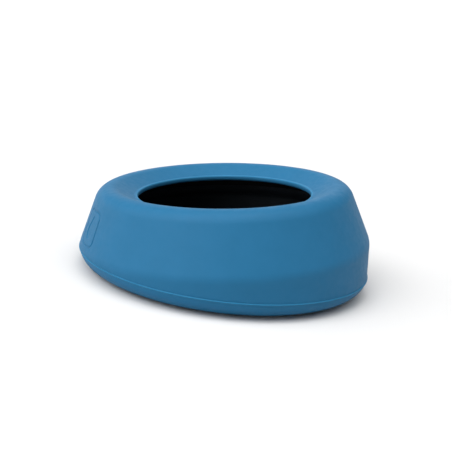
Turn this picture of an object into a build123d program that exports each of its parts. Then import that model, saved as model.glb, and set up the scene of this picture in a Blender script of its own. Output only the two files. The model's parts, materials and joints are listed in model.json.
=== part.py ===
from build123d import *
from math import acos, atan2, cos, hypot, radians, sin, tan
import os

# No-spill travel water bowl with a wedge-shaped base, in millimetres.
# The rim stays level on a sloping seat because the base plane is tilted against it. Here the base
# stands on z = 0, so the rim leans: the rim axis tips towards -X and the bowl is tallest at +X.
# Heights called z below are measured from the lip plane along the rim axis; radii from that axis.

# --- rim and outer wall ---
tilt = 6.9                  # angle between the rim plane and the base plane, in degrees
lip_height = 56.3           # centre of the lip plane above the base
lip_shift = -4.9            # the lip's centre in X, which centres the whole bowl over the origin
lip_radius = 60.7           # mouth
lip_bead = 1.3              # radius of the rounded bead around the mouth
lip_depth = 3.4             # how far the lip reaches down under its bead
lip_blend = 1.6             # hollow between the bead and the funnel
lip_nose_round = 2.0        # the lip's lower edge, towards the mouth
lip_end_round = 0.5         # its other lower edge
crest_ring = 79.5           # radius of the ring that the rounded crest is drawn around
crest_z = -3.5
crest_round = 11.3
crease_radius = 102.2       # widest line, where the slanting wall meets the band
crease_z = -30.8
crease_round = 15.0
band_taper = 2.3            # the band closes in towards the base, in degrees
band_length = 40.0          # drawn past the base, and cut off by it
seam_height = 12.5          # seam between cover and base, parallel to the base
wall = 3.2                  # silicone thickness

# --- base shell ---
seam_radius = 102.0         # the seam is very nearly a circle around the origin
base_round = 17.5           # the bottom edge is a quarter of an ellipse, this wide
pocket_round = 14.0         # the pocket's bottom edge, drawn this far in from the outer wall
floor_thickness = 3.0
tongue_gap = 0.5            # play between the cover and the base's tongue
tongue_thickness = 2.4
tongue_height = 6.0         # above the seam
seam_bead_round = 0.55      # fine moulded line along the top edge of the base
seam_edge_round = 0.2
groove_radii = [78, 68, 58, 48, 38]     # grip grooves in the underside, outermost first
groove_width = 2.4
groove_depth = 1.0

# --- inner bowl ---
bowl_thickness = 2.0
bowl_radius = 93.0
bowl_shoulder_z = -19.5     # top of its upright wall
bowl_collar_radius = 87.0
bowl_collar_z = -13.5
bowl_rim_z = -7.0
bowl_base_round = 9.0
bowl_bend = 5.0             # rounded shoulder, and the hollow above it
bowl_hollow = 3.0
bowl_edge_round = 0.6

# --- rim seal ---
seal_thickness = 1.3
seal_play = 0.1
seal_top_z = -5.5
seal_bottom_z = -11.0
fin_height = 1.2
fin_gap = 0.4               # between the fins' tips and the cover
fin_levels = [-7.4, -9.8]
seal_edge_round = 0.5

# --- emblem: a drop in a rounded square, sunk into the slanting wall ---
emblem_angle = 201.0        # around the rim axis from +X, in degrees
emblem_side = 25.0
emblem_corner = 5.0
emblem_line = 1.2
emblem_depth = 0.5
drop_radius = 5.2
drop_tip = 10.0             # from the drop's centre to its tip
drop_low = 2.2              # the drop's centre below the square's centre
tool_reach = 6.0            # how far the emblem's tool stands clear of the wall

lean = radians(tilt)
rim_up = Vector(-sin(lean), 0, cos(lean))
rim_centre = Vector(lip_shift, 0, lip_height)
rim_axis = Axis(rim_centre, rim_up)
# Profiles are drawn here: X is the radius and Y is the height along the rim axis.
profile_plane = Plane(origin=rim_centre, x_dir=(cos(lean), 0, sin(lean)), z_dir=(0, -1, 0))
seam_plane = Plane.XY.offset(seam_height)


def polar(radius, angle):
    """A point on a circle around the crest's centre, in the profile."""
    return Vector(crest_ring + radius * cos(angle), crest_z + radius * sin(angle))


def touch_angle(radius, height, side):
    """Where the line from a profile point touches the crest, as an angle around its centre."""
    across = radius - crest_ring
    up = height - crest_z
    return atan2(up, across) + side * acos(crest_round / hypot(across, up))


wall_angle = touch_angle(crease_radius, crease_z, 1)
funnel_angle = touch_angle(lip_radius, 0, -1)
wall_normal = Vector(cos(wall_angle), sin(wall_angle))
band_normal = Vector(cos(radians(band_taper)), -sin(radians(band_taper)))
wall_slope = tan(wall_angle)                            # radius lost for each mm of height


def crease_point(inset):
    """The crease's corner, with the wall and the band both moved inwards."""
    share = 1 + wall_normal.dot(band_normal)
    return Vector(crease_radius, crease_z) - (wall_normal + band_normal) * (inset / share)


def band_end(inset):
    """A point far enough down the band to be past the base."""
    down = Vector(band_normal.Y, -band_normal.X)
    return crease_point(inset) + down * band_length


def wall_radius(height, inset):
    """Radius of the slanting wall's surface at a height above the crease."""
    corner = crease_point(inset)
    return corner.X - (height - corner.Y) * wall_slope


def wall_form(inset, low):
    """The solid inside the outer wall, moved in by inset, standing on the plane z = low."""
    top = polar(crest_round - inset, wall_angle)
    foot = band_end(inset)
    with BuildPart() as form:
        with BuildSketch(profile_plane) as section:
            with BuildLine():
                Polyline((0, top.Y), top, crease_point(inset), foot, (0, foot.Y), close=True)
            make_face()
            fillet(section.vertices().sort_by(Axis.X)[-1], crease_round - inset)
        revolve(axis=rim_axis)
        split(bisect_by=Plane.XY.offset(low), keep=Keep.TOP)
        fillet(form.edges().group_by(Axis.Z)[0], pocket_round - inset)
    return form.part


def bowl_form(inset, low):
    """The inner bowl's solid shape, moved in by inset, standing on the plane z = low."""
    with BuildPart() as form:
        collar = Vector(bowl_collar_radius - inset, bowl_collar_z)
        shoulder = Vector(bowl_radius - inset, bowl_shoulder_z)
        with BuildSketch(profile_plane) as section:
            with BuildLine():
                Polyline(
                    (0, bowl_rim_z),
                    (collar.X, bowl_rim_z),
                    collar,
                    shoulder,
                    (shoulder.X, -lip_height - band_length),
                    (0, -lip_height - band_length),
                    close=True,
                )
            make_face()
            fillet(section.vertices().sort_by_distance(collar)[0], bowl_hollow + inset)
            fillet(section.vertices().sort_by_distance(shoulder)[0], bowl_bend - inset)
        revolve(axis=rim_axis)
        split(bisect_by=Plane.XY.offset(low), keep=Keep.TOP)
        fillet(form.edges().group_by(Axis.Z)[0], bowl_base_round - inset)
    return form.part


def keep_below(solid, plane):
    """The part of a solid below a plane."""
    with BuildPart() as lower:
        add(solid)
        split(bisect_by=plane, keep=Keep.BOTTOM)
    return lower.part


# --- emblem tool: the sunk lines, as thick as their depth ---
emblem_centre = polar(crest_round, wall_angle) * 0.5 + Vector(crease_radius, crease_z) * 0.5
around = radians(emblem_angle)
rim_plane = Plane(origin=rim_centre, x_dir=(cos(lean), 0, sin(lean)), z_dir=rim_up)
emblem_origin = rim_plane.from_local_coords(
    (emblem_centre.X * cos(around), emblem_centre.X * sin(around), emblem_centre.Y)
)
emblem_out = rim_plane.from_local_coords(
    Vector(cos(around) * wall_normal.X, sin(around) * wall_normal.X, wall_normal.Y)
) - rim_centre
emblem_across = rim_plane.from_local_coords(Vector(-sin(around), cos(around), 0)) - rim_centre
emblem_plane = Plane(origin=emblem_origin, x_dir=emblem_across, z_dir=emblem_out)

with BuildPart() as emblem_tool:
    with BuildSketch(emblem_plane):
        RectangleRounded(emblem_side, emblem_side, emblem_corner)
        hollow = emblem_side - 2 * emblem_line
        RectangleRounded(hollow, hollow, emblem_corner - emblem_line, mode=Mode.SUBTRACT)
    with BuildSketch(emblem_plane):
        with Locations((0, -drop_low)):
            Circle(drop_radius)
        with Locations((0, drop_tip - drop_low)):
            Circle(emblem_line / 2)
        make_hull()
    extrude(amount=tool_reach, both=True)
    add(wall_form(emblem_depth, 0), mode=Mode.SUBTRACT)

# --- splash cover: slanting wall, crest, funnel and lip, all one sheet ---
with BuildPart() as splash_cover:
    with BuildSketch(profile_plane) as section:
        inner_round = crest_round - wall
        sweep = funnel_angle - wall_angle
        lip_centre = Vector(lip_radius + lip_bead, 0)
        funnel_rise = tan(funnel_angle - radians(90))
        funnel_foot = polar(inner_round, funnel_angle)
        lip_top = lip_centre + Vector(0, lip_bead * funnel_rise)
        lip_under = Vector(
            lip_centre.X, funnel_foot.Y - (funnel_foot.X - lip_centre.X) * funnel_rise
        )
        with BuildLine():
            Line(lip_top, polar(crest_round, funnel_angle))
            ThreePointArc(
                polar(crest_round, funnel_angle),
                polar(crest_round, wall_angle + sweep / 2),
                polar(crest_round, wall_angle),
            )
            Polyline(
                polar(crest_round, wall_angle),
                crease_point(0),
                band_end(0),
                band_end(wall),
                crease_point(wall),
                polar(inner_round, wall_angle),
            )
            ThreePointArc(
                polar(inner_round, wall_angle),
                polar(inner_round, wall_angle + sweep / 2),
                funnel_foot,
            )
            Polyline(
                funnel_foot,
                lip_under,
                lip_top,
            )
        make_face()
        with Locations(lip_centre - Vector(0, lip_depth / 2)):
            Rectangle(2 * lip_bead, lip_depth)
        with Locations(lip_centre):
            Circle(lip_bead)
        bead_corner = lip_centre + Vector(lip_bead, lip_bead)
        collar_end = lip_centre - Vector(0, lip_depth)
        fillet(section.vertices().sort_by_distance(bead_corner)[0], lip_blend)
        nose = collar_end - Vector(lip_bead, 0)
        fillet(section.vertices().sort_by_distance(nose)[0], lip_nose_round)
        outer_end = collar_end + Vector(lip_bead, 0)
        fillet(section.vertices().sort_by_distance(outer_end)[0], lip_end_round)
        fillet(section.vertices().sort_by_distance(crease_point(0))[0], crease_round)
        fillet(section.vertices().sort_by_distance(crease_point(wall))[0], crease_round - wall)
    revolve(axis=rim_axis)
    split(bisect_by=seam_plane, keep=Keep.TOP)
    add(emblem_tool.part, mode=Mode.SUBTRACT)
    outer_edge = splash_cover.edges().filter_by_position(Axis.Z, seam_height, seam_height)
    fillet(outer_edge.sort_by(Edge.length)[-1], seam_edge_round)

# --- base shell: the wedge-shaped pan, with a tongue that stands up inside the cover ---
tongue_inset = wall + tongue_gap
tongue_top = Plane.XY.offset(seam_height + tongue_height)
flat_radius = seam_radius - base_round

with BuildPart() as base_shell:
    with BuildSketch(Plane.XZ):
        with BuildLine():
            EllipticalCenterArc(
                (flat_radius, seam_height), base_round, seam_height, start_angle=-90, arc_size=90
            )
            Polyline((seam_radius, seam_height), (0, seam_height), (0, 0), (flat_radius, 0))
        make_face()
        with Locations((seam_radius, seam_height - seam_bead_round)):
            Circle(seam_bead_round)
    revolve(axis=Axis.Z)
    add(keep_below(wall_form(tongue_inset, floor_thickness), tongue_top))
    add(wall_form(tongue_inset + tongue_thickness, floor_thickness), mode=Mode.SUBTRACT)
    with BuildSketch(Plane.XY):
        for radius in groove_radii:
            Circle(radius + groove_width / 2)
            Circle(radius - groove_width / 2, mode=Mode.SUBTRACT)
    extrude(amount=groove_depth, mode=Mode.SUBTRACT)

# --- inner bowl ---
with BuildPart() as inner_bowl:
    add(bowl_form(0, floor_thickness))
    add(bowl_form(bowl_thickness, floor_thickness + bowl_thickness), mode=Mode.SUBTRACT)
    fillet(inner_bowl.edges().group_by(rim_axis)[-1], bowl_edge_round)

# --- rim seal: a channel over the inner bowl's rim, with two fins that face the cover ---
channel_outer = bowl_collar_radius + seal_play + seal_thickness
channel_inner = bowl_collar_radius - bowl_thickness - seal_play - seal_thickness

with BuildPart() as rim_seal:
    with BuildSketch(profile_plane) as section:
        with Locations(((channel_inner + channel_outer) / 2, (seal_top_z + seal_bottom_z) / 2)):
            Rectangle(channel_outer - channel_inner, seal_top_z - seal_bottom_z)
        fillet(section.vertices(), seal_edge_round)
        for level in fin_levels:
            tip = wall_radius(level + fin_height / 2, wall) - fin_gap
            with Locations(((tip + bowl_collar_radius) / 2, level)):
                Rectangle(tip - bowl_collar_radius, fin_height)
        with Locations((bowl_collar_radius - bowl_thickness / 2, bowl_rim_z - band_length / 2)):
            Rectangle(bowl_thickness + 2 * seal_play, band_length, mode=Mode.SUBTRACT)
    revolve(axis=rim_axis)

os.makedirs("parts", exist_ok=True)
pieces = {
    "splash_cover": splash_cover,
    "base_shell": base_shell,
    "inner_bowl": inner_bowl,
    "rim_seal": rim_seal,
}
for name, piece in pieces.items():
    piece.part.label = name
    export_step(piece.part, f"parts/{name}.step")
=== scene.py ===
import json
from math import acos, atan2, cos, hypot, pi, radians, sin, tan

import bpy
import numpy as np
from mathutils import Matrix, Vector


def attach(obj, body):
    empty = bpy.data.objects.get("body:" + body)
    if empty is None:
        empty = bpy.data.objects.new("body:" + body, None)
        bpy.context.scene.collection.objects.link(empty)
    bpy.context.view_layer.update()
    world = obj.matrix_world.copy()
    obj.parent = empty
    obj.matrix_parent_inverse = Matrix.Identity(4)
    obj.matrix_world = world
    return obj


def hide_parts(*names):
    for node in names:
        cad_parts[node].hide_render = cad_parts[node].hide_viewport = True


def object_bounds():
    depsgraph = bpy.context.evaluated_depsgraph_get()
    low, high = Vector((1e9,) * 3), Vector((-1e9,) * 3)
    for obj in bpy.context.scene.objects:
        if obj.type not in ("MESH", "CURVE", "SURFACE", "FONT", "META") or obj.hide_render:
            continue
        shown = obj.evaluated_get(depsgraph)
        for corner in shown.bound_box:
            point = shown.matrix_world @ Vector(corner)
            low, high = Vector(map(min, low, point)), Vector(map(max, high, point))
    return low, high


# A no-spill travel water bowl in matte blue silicone, on a wedge-shaped base. All sizes are in
# metres. "t" is the height above the lip plane along the rim axis, and radii are from that axis.

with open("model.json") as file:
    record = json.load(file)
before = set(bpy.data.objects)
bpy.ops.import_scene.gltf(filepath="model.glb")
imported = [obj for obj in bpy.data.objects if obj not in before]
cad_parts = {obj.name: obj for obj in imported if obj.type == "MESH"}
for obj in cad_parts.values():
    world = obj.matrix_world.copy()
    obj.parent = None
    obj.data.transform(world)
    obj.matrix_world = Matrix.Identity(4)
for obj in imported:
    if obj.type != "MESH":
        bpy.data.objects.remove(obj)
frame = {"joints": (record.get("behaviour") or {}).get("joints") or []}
cad_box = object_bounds()

# ---------------------------------------------------------------- sizes
# These are the CAD part's, unless a note says otherwise.
LIP_CENTRE = np.array((-0.0049, 0, 0.0563))
LIP_RADIUS = 0.0607
LIP_BEAD = 0.0013
LIP_DEPTH = 0.0026              # CAD has 0.0034
LIP_BLEND = 0.0016
LIP_NOSE_ROUND = 0.0018         # CAD has 0.0020
LIP_END_ROUND = 0.0005
LIP_HIGHLIGHT_T = 0.7 * LIP_BEAD     # the painted highlight on the bead's top starts this high
CREST_RING = 0.0795
CREST_T = -0.0035
CREST_ROUND = 0.0113
CREASE_RADIUS = 0.1022
CREASE_T = -0.0308
CREASE_ROUND = 0.015
BAND_TAPER = radians(2.3)
BAND_LENGTH = 0.040
SEAM_HEIGHT = 0.0125
SEAM_LENGTH_RADIUS = 0.10236    # along X; CAD has a circle of 0.1020
SEAM_WIDTH_RADIUS = 0.10167     # along Y
SEAM_BEAD_ROUND = 0.00055
SEAM_EDGE_ROUND = 0.0002
WALL = 0.0032

BASE_ROUND = 0.0175
POCKET_ROUND = 0.014
FLOOR = 0.003
TONGUE_INSET = WALL + 0.0005
POCKET_INSET = TONGUE_INSET + 0.0024
TONGUE_TOP = SEAM_HEIGHT + 0.006
GROOVE_RADII = (0.038, 0.048, 0.058, 0.068, 0.078)
GROOVE_WIDTH = 0.0024
GROOVE_DEPTH = 0.001

BOWL_THICKNESS = 0.002
BOWL_RADIUS = 0.093
BOWL_SHOULDER_T = -0.0195
BOWL_COLLAR_RADIUS = 0.087
BOWL_COLLAR_T = -0.0135
BOWL_RIM_T = -0.007
BOWL_BASE_ROUND = 0.009
BOWL_BEND = 0.005
BOWL_HOLLOW = 0.003

SEAL_THICKNESS = 0.0013
SEAL_PLAY = 0.0001
SEAL_TOP_T = -0.0055
SEAL_BOTTOM_T = -0.011
FIN_LEVELS = (-0.0074, -0.0098)
FIN_HEIGHT = 0.0012
FIN_GAP = 0.0004
FIN_ROUND = FIN_HEIGHT / 4      # CAD's fins have sharp corners
SEAL_CORNER = 0.0005

EMBLEM_ANGLE = radians(201)
EMBLEM_SIDE = 0.025
EMBLEM_CORNER = 0.005
EMBLEM_LINE = 0.0012
EMBLEM_DEPTH = 0.0005
EMBLEM_SOFTNESS = 0.00035       # width of the slope at its edges; CAD's are upright
DROP_RADIUS = 0.0052
DROP_TIP = 0.010
DROP_LOW = 0.0022

CAP_RADIUS = 0.004              # floors close on their middle inside this radius

# ---------------------------------------------------------------- how finely the skins are cut
AROUND = 384
EMBLEM_REACH = radians(9)       # the cover is cut finer this far to each side of the emblem
EMBLEM_STEP = radians(0.18)
EMBLEM_MARGIN = radians(0.3)    # keeps the last fine and the first coarse angle apart
WALL_STEPS, CREASE_STEPS, BAND_STEPS = 60, 40, 80
WALL_ROWS = 132                 # the cover's outer wall, after it is evened out
SHARP_ANGLE = radians(40)

# ---------------------------------------------------------------- the rim's own frame
cover_axis = next(j["axis"] for j in frame["joints"] if j["name"] == "cover_lift")
RIM_UP = np.array(cover_axis) / np.linalg.norm(cover_axis)
RIM_ACROSS = np.array((RIM_UP[2], 0, -RIM_UP[0]))
RIM_BACK = np.array((0, 1.0, 0))
UP = np.array((0, 0, 1.0))


def place(radius, t, angle):
    """Points of the rim's frame in the row frame; the arguments may be arrays."""
    radius, t, angle = np.broadcast_arrays(radius, t, angle)
    return (
        LIP_CENTRE
        + (radius * np.cos(angle))[..., None] * RIM_ACROSS
        + (radius * np.sin(angle))[..., None] * RIM_BACK
        + t[..., None] * RIM_UP
    )


# ---------------------------------------------------------------- profile lines, as (radius, t)
def straight(start, end, count):
    """count points from start towards end, without the end."""
    share = np.arange(count)[:, None] / count
    return np.array(start) * (1 - share) + np.array(end) * share


def arc(centre, radius, first, last, count):
    """count points on an arc, with both ends."""
    angles = np.linspace(first, last, count)
    return np.array(centre) + radius * np.stack((np.cos(angles), np.sin(angles)), 1)


def direction(angle):
    """A unit step in the profile."""
    return np.array((cos(angle), sin(angle)))


def touch_angle(point, side):
    """Where the line from a point touches the rounded crest, as an angle around its centre."""
    across, up = point[0] - CREST_RING, point[1] - CREST_T
    return atan2(up, across) + side * acos(CREST_ROUND / hypot(across, up))


CREST = np.array((CREST_RING, CREST_T))
CREASE = np.array((CREASE_RADIUS, CREASE_T))
WALL_ANGLE = touch_angle(CREASE, 1)
FUNNEL_ANGLE = touch_angle((LIP_RADIUS, 0), -1)
WALL_NORMAL = direction(WALL_ANGLE)
BAND_NORMAL = direction(-BAND_TAPER)
FUNNEL_NORMAL = direction(FUNNEL_ANGLE)
BEND = CREASE - (WALL_NORMAL + BAND_NORMAL) * CREASE_ROUND / (1 + WALL_NORMAL @ BAND_NORMAL)
BAND_DOWN = np.array((BAND_NORMAL[1], -BAND_NORMAL[0]))


def wall_line(inset):
    """The outer wall from the crest down past the base, moved inwards. Equal places in two such
    lines face each other."""
    top = CREST + WALL_NORMAL * (CREST_ROUND - inset)
    bend = arc(BEND, CREASE_ROUND - inset, WALL_ANGLE, -BAND_TAPER, CREASE_STEPS)
    foot = bend[-1] + BAND_DOWN * BAND_LENGTH
    wall = straight(top, bend[0], WALL_STEPS)
    band = straight(bend[-1], foot, BAND_STEPS)
    return np.concatenate((wall, bend[:-1], band, [foot]))


def bowl_line(inset):
    """The inner bowl's wall from its rim down past the base, moved inwards."""
    slope = atan2(BOWL_SHOULDER_T - BOWL_COLLAR_T, BOWL_RADIUS - BOWL_COLLAR_RADIUS)
    half = (slope + pi / 2) / 2
    hollow_centre = (BOWL_COLLAR_RADIUS + BOWL_HOLLOW, BOWL_COLLAR_T + BOWL_HOLLOW * tan(half))
    bend_centre = (BOWL_RADIUS - BOWL_BEND, BOWL_SHOULDER_T - BOWL_BEND * tan(half))
    hollow = arc(hollow_centre, BOWL_HOLLOW + inset, pi, pi + 2 * half, 16)
    bend = arc(bend_centre, BOWL_BEND - inset, 2 * half, 0, 20)
    foot = bend[-1] - (0, BAND_LENGTH)
    rim = (BOWL_COLLAR_RADIUS - inset, BOWL_RIM_T)
    return np.concatenate(
        (
            straight(rim, hollow[0], 12),
            hollow[:-1],
            straight(hollow[-1], bend[0], 12),
            bend[:-1],
            straight(bend[-1], foot, BAND_STEPS),
            [foot],
        )
    )


# ---------------------------------------------------------------- lines in space, one per angle
def crossing(points, height):
    """Where a falling line in space passes a height, as a place in its list."""
    return float(np.interp(-height, -points[:, 2], np.arange(len(points))))


def at(points, place_in_list):
    """The point at a place between two entries of a list."""
    low = min(int(place_in_list), len(points) - 2)
    share = place_in_list - low
    return points[low] * (1 - share) + points[low + 1] * share


def spread(points, count):
    """count points evenly along a line in space, both ends kept."""
    steps = np.linalg.norm(np.diff(points, axis=0), axis=1)
    along = np.concatenate(([0], np.cumsum(steps)))
    even = np.linspace(0, along[-1], count)
    return np.stack([np.interp(even, along, points[:, k]) for k in range(3)], 1)


def standing(line, inset, radius, floor, angle, arc_count):
    """A wall that meets a level floor in a rolling-ball rounding: (the wall down to the rounding,
    the rounding down to the floor)."""
    wall = place(*line(inset).T, angle)
    centres = place(*line(inset + radius).T, angle)
    where = crossing(centres, floor + radius)
    centre, touch = at(centres, where), at(wall, where)
    outward = (touch - centre) / radius
    turn = acos(float(outward @ -UP))
    shares = np.linspace(0, 1, arc_count)[:, None]
    rounding = (np.sin((1 - shares) * turn) * outward - np.sin(shares * turn) * UP) / sin(turn)
    return np.concatenate((wall[: int(where) + 1], [touch])), centre + radius * rounding


def below(points, height):
    """The part of a falling line that is under a height."""
    where = crossing(points, height)
    return np.concatenate(([at(points, where)], points[int(where) + 1 :]))


def above(points, height):
    """The part of a falling line that is over a height."""
    where = crossing(points, height)
    return np.concatenate((points[: int(where) + 1], [at(points, where)]))


# ---------------------------------------------------------------- meshes
def skin(name, rows, loop=False, caps=()):
    """A mesh of quads from rings of points, rows x angles x 3. loop joins the last ring to the
    first; caps names the rings, 0 or -1, that close on a point in their middle."""
    count, around = rows.shape[:2]
    index = np.arange(count * around).reshape(count, around)
    if loop:
        index = np.concatenate((index, index[:1]))
    right = np.roll(index, -1, axis=1)
    faces = np.stack((index[:-1], right[:-1], right[1:], index[1:]), -1).reshape(-1, 4).tolist()
    points = rows.reshape(-1, 3).tolist()
    for ring in caps:
        points.append(rows[ring].mean(0).tolist())
        middle = len(points) - 1
        edge, beyond = index[ring], right[ring]
        pairs = zip(edge, beyond) if ring else zip(beyond, edge)
        faces += [[int(a), int(b), middle] for a, b in pairs]
    mesh = bpy.data.meshes.new(name)
    mesh.from_pydata(points, [], faces)
    mesh.validate()
    mesh.update()
    mesh.shade_smooth()
    mesh.set_sharp_from_angle(angle=SHARP_ANGLE)
    obj = bpy.data.objects.new(name, mesh)
    bpy.context.scene.collection.objects.link(obj)
    return obj


def paint_highlight(obj, centre, axis, inner=0, outer=np.inf, low=0, high=np.inf):
    """Gives the second material to the faces inside a ring around an axis: between two radii from
    it and two heights over the centre."""
    # the second material is a lighter blue: it paints a highlight on the chosen faces
    count = len(obj.data.polygons)
    centres = np.empty(count * 3)
    obj.data.polygons.foreach_get("center", centres)
    reach = centres.reshape(-1, 3) - centre
    level = reach @ axis
    radius = np.linalg.norm(reach - level[:, None] * axis, axis=1)
    chosen = (radius > inner) & (radius < outer) & (level > low) & (level < high)
    obj.data.polygons.foreach_set("material_index", chosen.astype(np.int32))
    obj.data.update()


def finish_piece(obj, node, body, slot, *materials):
    """Makes a skin ride its body in place of its CAD node."""
    for material in materials:
        obj.data.materials.append(material)
    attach(obj, body)
    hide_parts(node)


PLAIN_ANGLES = np.linspace(0, 2 * pi, AROUND, endpoint=False)
fine = np.arange(-EMBLEM_REACH, EMBLEM_REACH, EMBLEM_STEP) + EMBLEM_ANGLE
coarse = PLAIN_ANGLES[np.abs(PLAIN_ANGLES - EMBLEM_ANGLE) > EMBLEM_REACH + EMBLEM_MARGIN]
COVER_ANGLES = np.sort(np.concatenate((fine, coarse)))


def step_down(distance):
    """1 inside a shape and 0 outside it, with a soft edge."""
    share = np.clip(0.5 - distance / EMBLEM_SOFTNESS, 0, 1)
    return share * share * (3 - 2 * share)


def emblem_sink(across, up):
    """How deep the emblem is sunk: a drop in a rounded square."""
    # distances to the square's corner centres, and from there to its outline
    corner_x = np.abs(across) - EMBLEM_SIDE / 2 + EMBLEM_CORNER
    corner_y = np.abs(up) - EMBLEM_SIDE / 2 + EMBLEM_CORNER
    outside = np.hypot(np.maximum(corner_x, 0), np.maximum(corner_y, 0))
    inside = np.minimum(np.maximum(corner_x, corner_y), 0)
    square = outside + inside - EMBLEM_CORNER
    ring = np.abs(square + EMBLEM_LINE / 2) - EMBLEM_LINE / 2
    tip = EMBLEM_LINE / 2
    lean = (DROP_RADIUS - tip) / DROP_TIP
    side = (1 - lean * lean) ** 0.5
    x, y = np.abs(across), up + DROP_LOW
    # the drop is a large circle and a small one, joined by the lines that touch both
    along = -lean * x + side * y
    belly = np.hypot(x, y) - DROP_RADIUS
    point = np.hypot(x, y - DROP_TIP) - tip
    flank = side * x + lean * y - DROP_RADIUS
    drop = np.where(along < 0, belly, np.where(along > side * DROP_TIP, point, flank))
    return EMBLEM_DEPTH * step_down(np.minimum(ring, drop))


def make_cover():
    """The cover: lip, funnel, crest, slanting wall, crease and band, and its inside."""
    slope = FUNNEL_ANGLE - pi / 2
    bead = np.array((LIP_RADIUS + LIP_BEAD, 0))
    # the hollow between bead and funnel: a circle outside the bead that rests on the funnel line
    under = LIP_BEAD * sin(slope)
    along = ((LIP_BEAD + LIP_BLEND) ** 2 - (LIP_BLEND + under) ** 2) ** 0.5
    blend = bead + direction(slope) * along + FUNNEL_NORMAL * (LIP_BLEND + under)
    bead_end = atan2(*(blend - bead)[::-1])
    crest_start = CREST + FUNNEL_NORMAL * CREST_ROUND
    nose_low, end_low = -LIP_DEPTH + LIP_NOSE_ROUND, -LIP_DEPTH + LIP_END_ROUND
    inner_crest = CREST_ROUND - WALL
    inner_start = CREST + FUNNEL_NORMAL * inner_crest
    outer_radius = LIP_RADIUS + 2 * LIP_BEAD
    inner_end_t = inner_start[1] - (inner_start[0] - outer_radius) * tan(slope)
    inner_end = np.array((outer_radius, inner_end_t))
    top = np.concatenate(
        (
            straight((LIP_RADIUS, nose_low), (LIP_RADIUS, 0), 6),
            arc(bead, LIP_BEAD, pi, bead_end, 14)[:-1],
            arc(blend, LIP_BLEND, bead_end + pi, slope + 1.5 * pi, 8)[:-1],
            straight(blend - FUNNEL_NORMAL * LIP_BLEND, crest_start, 18),
            arc(CREST, CREST_ROUND, FUNNEL_ANGLE, WALL_ANGLE, 36)[:-1],
        )
    )
    under_side = np.concatenate(
        (
            arc(CREST, inner_crest, WALL_ANGLE, FUNNEL_ANGLE, 24)[1:-1],
            straight(inner_start, inner_end, 14),
            straight(inner_end, (outer_radius, end_low), 6),
            arc((outer_radius - LIP_END_ROUND, end_low), LIP_END_ROUND, 0, -pi / 2, 7)[:-1],
            arc((LIP_RADIUS + LIP_NOSE_ROUND, nose_low), LIP_NOSE_ROUND, -pi / 2, -pi, 12)[:-1],
        )
    )
    rows = []
    for angle in COVER_ANGLES:
        wall, edge = standing(wall_line, 0, SEAM_EDGE_ROUND, SEAM_HEIGHT, angle, 5)
        inside = above(place(*wall_line(WALL).T, angle), SEAM_HEIGHT)[::-1]
        bottom = spread(np.array((edge[-1], inside[0])), 5)[1:-1]
        rows.append(
            np.concatenate(
                (
                    place(*top.T, angle),
                    spread(wall, WALL_ROWS),
                    edge[1:],
                    bottom,
                    spread(inside, 60),
                    place(*under_side.T, angle),
                )
            )
        )
    rows = np.stack(rows, 1)
    wall_rows = slice(len(top), len(top) + WALL_ROWS)
    wall = rows[wall_rows]
    middle = (CREST + WALL_NORMAL * CREST_ROUND + CREASE) / 2
    outward = direction(WALL_ANGLE)
    normal = (
        np.cos(COVER_ANGLES)[:, None] * RIM_ACROSS + np.sin(COVER_ANGLES)[:, None] * RIM_BACK
    ) * outward[0] + RIM_UP * outward[1]
    height = (wall - LIP_CENTRE) @ RIM_UP
    up = (height - middle[1]) / cos(WALL_ANGLE)
    across = (COVER_ANGLES - EMBLEM_ANGLE) * middle[0]
    sink = emblem_sink(across[None, :], up)
    rows[wall_rows] = wall - sink[..., None] * normal
    return skin("splash_cover_skin", rows[::-1], loop=True)


def make_base():
    """The base: grooves, rounded edge and bead outside, then ledge, tongue and pocket."""
    # the outside, from the seam down: a fine bead, then a quarter of an ellipse
    bead = arc((0, -SEAM_BEAD_ROUND), SEAM_BEAD_ROUND, pi / 2, -pi / 2, 13)
    turns = np.linspace(0, pi / 2, 72)
    quarter = np.stack((BASE_ROUND * (np.cos(turns) - 1), -SEAM_HEIGHT * np.sin(turns)), 1)
    quarter = quarter[quarter[:, 1] < bead[-1, 1] - SEAM_BEAD_ROUND / 2]
    profile = np.concatenate((bead, quarter))
    rows = []
    for angle in PLAIN_ANGLES:
        outward = np.array((cos(angle), sin(angle), 0))
        seam = outward * (SEAM_LENGTH_RADIUS, SEAM_WIDTH_RADIUS, 0) + SEAM_HEIGHT * UP
        outside = seam + profile[:, :1] * outward + profile[:, 1:] * UP
        tongue = above(place(*wall_line(TONGUE_INSET).T, angle), SEAM_HEIGHT)
        tongue = spread(below(tongue, TONGUE_TOP), 10)[::-1]
        ledge = spread(np.array((outside[0], tongue[0])), 5)[1:-1]
        pocket, corner = standing(
            wall_line, POCKET_INSET, POCKET_ROUND - POCKET_INSET, FLOOR, angle, 18
        )
        pocket = spread(below(pocket, TONGUE_TOP), 14)
        crown = spread(np.array((tongue[-1], pocket[0])), 5)[1:-1]
        floor = spread(np.array((corner[-1], outward * CAP_RADIUS + FLOOR * UP)), 12)[1:]
        under = [outward * CAP_RADIUS]
        for radius in GROOVE_RADII:
            for side, depth in ((-1, 0), (-1, 1), (1, 1), (1, 0)):
                size = radius + side * GROOVE_WIDTH / 2
                under.append(outward * size + depth * GROOVE_DEPTH * UP)
        rows.append(
            np.concatenate(
                (under, outside[::-1], ledge, tongue, crown, pocket, corner[1:], floor)
            )
        )
    return skin("base_shell_skin", np.stack(rows, 1), caps=(0, -1))


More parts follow.
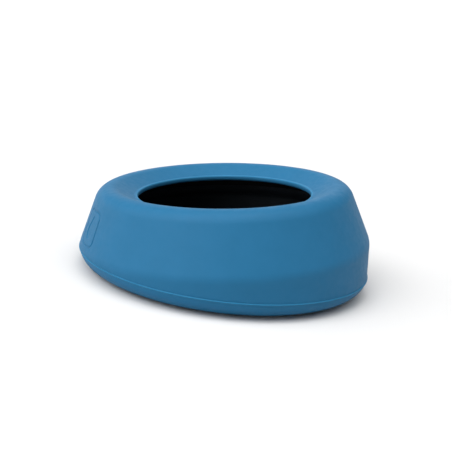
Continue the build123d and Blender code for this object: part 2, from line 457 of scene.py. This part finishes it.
def make_bowl():
    """The inner bowl, an even 2 mm thick; CAD's shoulder is thinner, because its inside is only
    moved across."""
    top = FLOOR + BOWL_THICKNESS
    inner_round = BOWL_BASE_ROUND - BOWL_THICKNESS
    rows = []
    for angle in PLAIN_ANGLES:
        outside, foot = standing(bowl_line, 0, BOWL_BASE_ROUND, FLOOR, angle, 20)
        inside, hollow = standing(bowl_line, BOWL_THICKNESS, inner_round, top, angle, 20)
        middle = CAP_RADIUS * np.array((cos(angle), sin(angle), 0))
        under = spread(np.array((middle + FLOOR * UP, foot[-1])), 12)[:-1]
        outer_wall = spread(outside, 70)[::-1][1:]
        inner_wall = spread(inside, 70)
        floor = spread(np.array((hollow[-1], middle + top * UP)), 16)[1:]
        rows.append(
            np.concatenate((under, foot[::-1], outer_wall, inner_wall, hollow[1:], floor))
        )
    return skin("inner_bowl_skin", np.stack(rows, 1), caps=(0, -1))


def make_seal():
    """The seal: a channel over the bowl's rim, with two fins that face the cover."""
    outer = BOWL_COLLAR_RADIUS + SEAL_PLAY + SEAL_THICKNESS
    inner = BOWL_COLLAR_RADIUS - BOWL_THICKNESS - SEAL_PLAY - SEAL_THICKNESS
    slot_outer = BOWL_COLLAR_RADIUS + SEAL_PLAY
    slot_inner = BOWL_COLLAR_RADIUS - BOWL_THICKNESS - SEAL_PLAY
    near, far = inner + SEAL_CORNER, outer - SEAL_CORNER
    low, high = SEAL_BOTTOM_T + SEAL_CORNER, SEAL_TOP_T - SEAL_CORNER
    line = [(slot_inner, BOWL_RIM_T), (slot_inner, SEAL_BOTTOM_T)]
    line += list(arc((near, low), SEAL_CORNER, -pi / 2, -pi, 5))
    line += list(arc((near, high), SEAL_CORNER, pi, pi / 2, 5))
    line += list(arc((far, high), SEAL_CORNER, pi / 2, 0, 5))
    slope = tan(WALL_ANGLE)
    inside = wall_line(WALL)[0]
    for level in FIN_LEVELS:
        fin_top, fin_bottom = level + FIN_HEIGHT / 2, level - FIN_HEIGHT / 2
        tip = inside[0] - (fin_top - inside[1]) * slope - FIN_GAP - FIN_ROUND
        line += [(outer, fin_top)]
        line += list(arc((tip, fin_top - FIN_ROUND), FIN_ROUND, pi / 2, 0, 4))
        line += list(arc((tip, fin_bottom + FIN_ROUND), FIN_ROUND, 0, -pi / 2, 4))
        line += [(outer, fin_bottom)]
    line += list(arc((far, low), SEAL_CORNER, 0, -pi / 2, 5))
    line += [(slot_outer, SEAL_BOTTOM_T), (slot_outer, BOWL_RIM_T)]
    line = np.array(line)
    rows = place(line[:, :1], line[:, 1:], PLAIN_ANGLES[None, :])
    return skin("rim_seal_skin", rows[::-1], loop=True)


# ---------------------------------------------------------------- materials
def new_material(name):
    material = bpy.data.materials.new(name)
    material.use_nodes = True
    nodes, links = material.node_tree.nodes, material.node_tree.links
    return material, nodes, links, nodes["Principled BSDF"]


def noise(nodes, links, source, scale, detail=3.0, roughness=0.55):
    node = nodes.new("ShaderNodeTexNoise")
    node.inputs["Scale"].default_value = scale
    node.inputs["Detail"].default_value = detail
    node.inputs["Roughness"].default_value = roughness
    links.new(source, node.inputs["Vector"])
    return node.outputs["Fac"]


def ramp(nodes, links, source, stops):
    node = nodes.new("ShaderNodeValToRGB")
    elements = node.color_ramp.elements
    for element, (place_on_ramp, colour) in zip(elements, stops):
        element.position = place_on_ramp
        element.color = (*colour, 1)
    links.new(source, node.inputs["Fac"])
    return node.outputs["Color"]


def spread_value(nodes, links, source, low, high):
    """A noise stretched to a range of values."""
    node = nodes.new("ShaderNodeMapRange")
    node.inputs["From Min"].default_value = 0.3
    node.inputs["From Max"].default_value = 0.7
    node.inputs["To Min"].default_value = low
    node.inputs["To Max"].default_value = high
    links.new(source, node.inputs["Value"])
    return node.outputs["Result"]


def bump(nodes, links, height, strength, distance, before=None):
    """Fine relief, on top of the relief before it."""
    node = nodes.new("ShaderNodeBump")
    node.inputs["Strength"].default_value = strength
    node.inputs["Distance"].default_value = distance
    links.new(height, node.inputs["Height"])
    if before is not None:
        links.new(before, node.inputs["Normal"])
    return node.outputs["Normal"]


SILICONE_ROUGHNESS = (0.52, 0.64)
SILICONE_SHINE = 0.14
PLASTIC_ROUGHNESS = (0.42, 0.55)
PLASTIC_SHINE = 0.25
PLASTIC_DARK = (0.0056, 0.0088, 0.0124)
PLASTIC_LIGHT = (0.0088, 0.0134, 0.0182)
RUBBER_DARK = (0.004, 0.0042, 0.005)
RUBBER_LIGHT = (0.006, 0.0062, 0.007)
BLUE_DARK = (0.0128, 0.111, 0.225)
BLUE_LIGHT = (0.0138, 0.115, 0.233)
# lighter blue, painted on the tops of the lip and seam beads as a highlight
BLUE_HIGHLIGHT_DARK = (0.016, 0.146, 0.278)
BLUE_HIGHLIGHT_LIGHT = (0.018, 0.152, 0.290)


def silicone(name, dark, light):
    """Matte silicone: a faint mottle, soft waves and a fine grain."""
    material, nodes, links, shader = new_material(name)
    where = nodes.new("ShaderNodeTexCoord").outputs["Object"]
    mottle = noise(nodes, links, where, 70, 4.0)
    grain = noise(nodes, links, where, 1500, 2.0)
    waves = noise(nodes, links, where, 240, 3.0)
    colour = ramp(nodes, links, mottle, ((0.35, dark), (0.65, light)))
    links.new(colour, shader.inputs["Base Color"])
    roughness = spread_value(nodes, links, waves, *SILICONE_ROUGHNESS)
    links.new(roughness, shader.inputs["Roughness"])
    surface = bump(nodes, links, waves, 0.12, 0.0003)
    surface = bump(nodes, links, grain, 0.22, 0.00012, surface)
    links.new(surface, shader.inputs["Normal"])
    shader.inputs["Specular IOR Level"].default_value = SILICONE_SHINE
    return material


def black_plastic():
    """Moulded plastic: cloudy roughness and a very fine spark texture."""
    material, nodes, links, shader = new_material("black_moulded_plastic")
    where = nodes.new("ShaderNodeTexCoord").outputs["Object"]
    cloud = noise(nodes, links, where, 40, 3.0)
    spark = noise(nodes, links, where, 2200, 2.0)
    colour = ramp(nodes, links, cloud, ((0.35, PLASTIC_DARK), (0.65, PLASTIC_LIGHT)))
    links.new(colour, shader.inputs["Base Color"])
    roughness = spread_value(nodes, links, cloud, *PLASTIC_ROUGHNESS)
    links.new(roughness, shader.inputs["Roughness"])
    links.new(bump(nodes, links, spark, 0.3, 0.0001), shader.inputs["Normal"])
    shader.inputs["Specular IOR Level"].default_value = PLASTIC_SHINE
    return material


blue = silicone("blue_silicone_matte", BLUE_DARK, BLUE_LIGHT)
# a lighter copy of the silicone: a painted highlight for the beads' upper faces
blue_highlight = silicone("blue_silicone_painted_highlight", BLUE_HIGHLIGHT_DARK, BLUE_HIGHLIGHT_LIGHT)
black_rubber = silicone("black_silicone", RUBBER_DARK, RUBBER_LIGHT)
bowl_black = black_plastic()

# ---------------------------------------------------------------- camera, as the object is seen
VIEW_DISTANCE = 0.600
VIEW_RISE = radians(12.31)
AIM_DOWN = 0.02256
AIM_RIGHT = 0.00097
VIEW_ROLL = radians(-0.31)
LENS = 67.75


def make_camera():
    camera = bpy.data.objects.new("camera", bpy.data.cameras.new("camera"))
    bpy.context.scene.collection.objects.link(camera)
    camera.data.lens = LENS
    camera.data.sensor_width = 36
    camera.data.clip_start = 0.01
    outward = RIM_UP * sin(VIEW_RISE) - RIM_BACK * cos(VIEW_RISE)
    eye = LIP_CENTRE + outward * VIEW_DISTANCE
    straight_on = Vector(LIP_CENTRE - eye).normalized()
    right = Vector(RIM_ACROSS)
    up = right.cross(straight_on)
    aim = (straight_on * VIEW_DISTANCE + right * AIM_RIGHT - up * AIM_DOWN).normalized()
    right = (right - aim * right.dot(aim)).normalized()
    up = right.cross(aim)
    turned = Matrix((right, up, -aim)).transposed().to_4x4() @ Matrix.Rotation(VIEW_ROLL, 4, "Z")
    camera.matrix_world = Matrix.Translation(Vector(eye)) @ turned
    bpy.context.scene.camera = camera


# ---------------------------------------------------------------- stage and light
LIGHTS = (                      # name, turn, rise, brightness
    ("overhead", 0, 90, 0.40),
    ("key", 225, 60, 0.50),
    ("key_low", 225, 35, 0.38),
    ("left", 180, 35, 0.38),
    ("right", 340, 60, 0.40),
    ("back", 90, 22, 0.20),
)
SOFTBOX_ANGLE = radians(45)
WORLD_BRIGHTNESS = 0.02
STAGE_RADIUS = 12.0
STAGE_SWEEP = 3.0
STAGE_GAP = 0.0002              # the floor's clearance under the base
STAGE_HOLE, STAGE_NEAR = 0.05, 0.4
FLOOR_DARK, FLOOR_LIGHT = (0.60,) * 3, (0.62,) * 3
WALL_GLOW = 0.8                 # the stage glows towards -X, where the lights leave its wall grey
GLOW_START, GLOW_END = -1.0, -8.0


def make_stage():
    """A pale floor that sweeps up into a wall all round, so no edge shows from any side."""
    flat = STAGE_RADIUS - STAGE_SWEEP
    level = cad_box[0].z - STAGE_GAP
    line = np.concatenate(
        (
            straight((STAGE_HOLE, 0), (STAGE_NEAR, 0), 6),
            straight((STAGE_NEAR, 0), (flat, 0), 12),
            arc((flat, STAGE_SWEEP), STAGE_SWEEP, -pi / 2, 0, 32),
        )
    )
    angles = np.linspace(0, 2 * pi, 96, endpoint=False)
    radius, height = line[:, :1], line[:, 1:] + level
    places = np.broadcast_arrays(radius * np.cos(angles), radius * np.sin(angles), height)
    rows = np.stack(places, -1)
    floor = skin("studio_floor", rows, caps=(0,))
    material, nodes, links, shader = new_material("pale_floor")
    where = nodes.new("ShaderNodeTexCoord").outputs["Object"]
    cloud = noise(nodes, links, where, 3, 2.0)
    colour = ramp(nodes, links, cloud, ((0.3, FLOOR_DARK), (0.7, FLOOR_LIGHT)))
    links.new(colour, shader.inputs["Base Color"])
    shader.inputs["Roughness"].default_value = 0.9
    shader.inputs["Specular IOR Level"].default_value = 0.1
    across = nodes.new("ShaderNodeSeparateXYZ")
    links.new(where, across.inputs["Vector"])
    glow = nodes.new("ShaderNodeMapRange")
    glow.inputs["From Min"].default_value = GLOW_START
    glow.inputs["From Max"].default_value = GLOW_END
    glow.inputs["To Max"].default_value = WALL_GLOW
    links.new(across.outputs["X"], glow.inputs["Value"])
    links.new(glow.outputs["Result"], shader.inputs["Emission Strength"])
    shader.inputs["Emission Color"].default_value = (1, 1, 1, 1)
    floor.data.materials.append(material)


def make_light(name, turn, rise, brightness):
    """A broad, soft light from far away: turn is counted from +X towards +Y, rise from the floor."""
    light = bpy.data.objects.new(name, bpy.data.lights.new(name, "SUN"))
    bpy.context.scene.collection.objects.link(light)
    light.data.energy = brightness * pi
    light.data.angle = SOFTBOX_ANGLE
    turn, rise = radians(turn), radians(rise)
    towards = Vector((cos(turn) * cos(rise), sin(turn) * cos(rise), sin(rise)))
    light.rotation_euler = (-towards).to_track_quat("-Z", "Y").to_euler()
    light.location = towards


def make_world():
    world = bpy.data.worlds.new("studio")
    world.use_nodes = True
    world.node_tree.nodes["Background"].inputs["Color"].default_value = (1, 1, 1, 1)
    world.node_tree.nodes["Background"].inputs["Strength"].default_value = WORLD_BRIGHTNESS
    bpy.context.scene.world = world


# ---------------------------------------------------------------- the scene
make_camera()
cover = make_cover()
base = make_base()
bowl = make_bowl()
seal = make_seal()
finish_piece(cover, "splash_cover", "cover", "blue_silicone", blue, blue_highlight)
finish_piece(base, "base_shell", "base", "blue_silicone", blue, blue_highlight)
# painted highlight: the upper part of the lip bead gets the lighter blue
paint_highlight(cover, LIP_CENTRE, RIM_UP, outer=LIP_RADIUS + LIP_BEAD, low=LIP_HIGHLIGHT_T, high=LIP_BEAD)
# painted highlight: the upper half of the seam bead gets the lighter blue
bead_centre = (SEAM_HEIGHT - SEAM_BEAD_ROUND) * UP
paint_highlight(base, bead_centre, UP, inner=SEAM_WIDTH_RADIUS, high=SEAM_BEAD_ROUND)
finish_piece(bowl, "inner_bowl", "bowl", "black_bowl", bowl_black)
finish_piece(seal, "rim_seal", "bowl", "black_seal", black_rubber)

make_stage()
make_world()
for light in LIGHTS:
    make_light(*light)
bpy.context.scene.view_settings.view_transform = "Standard"
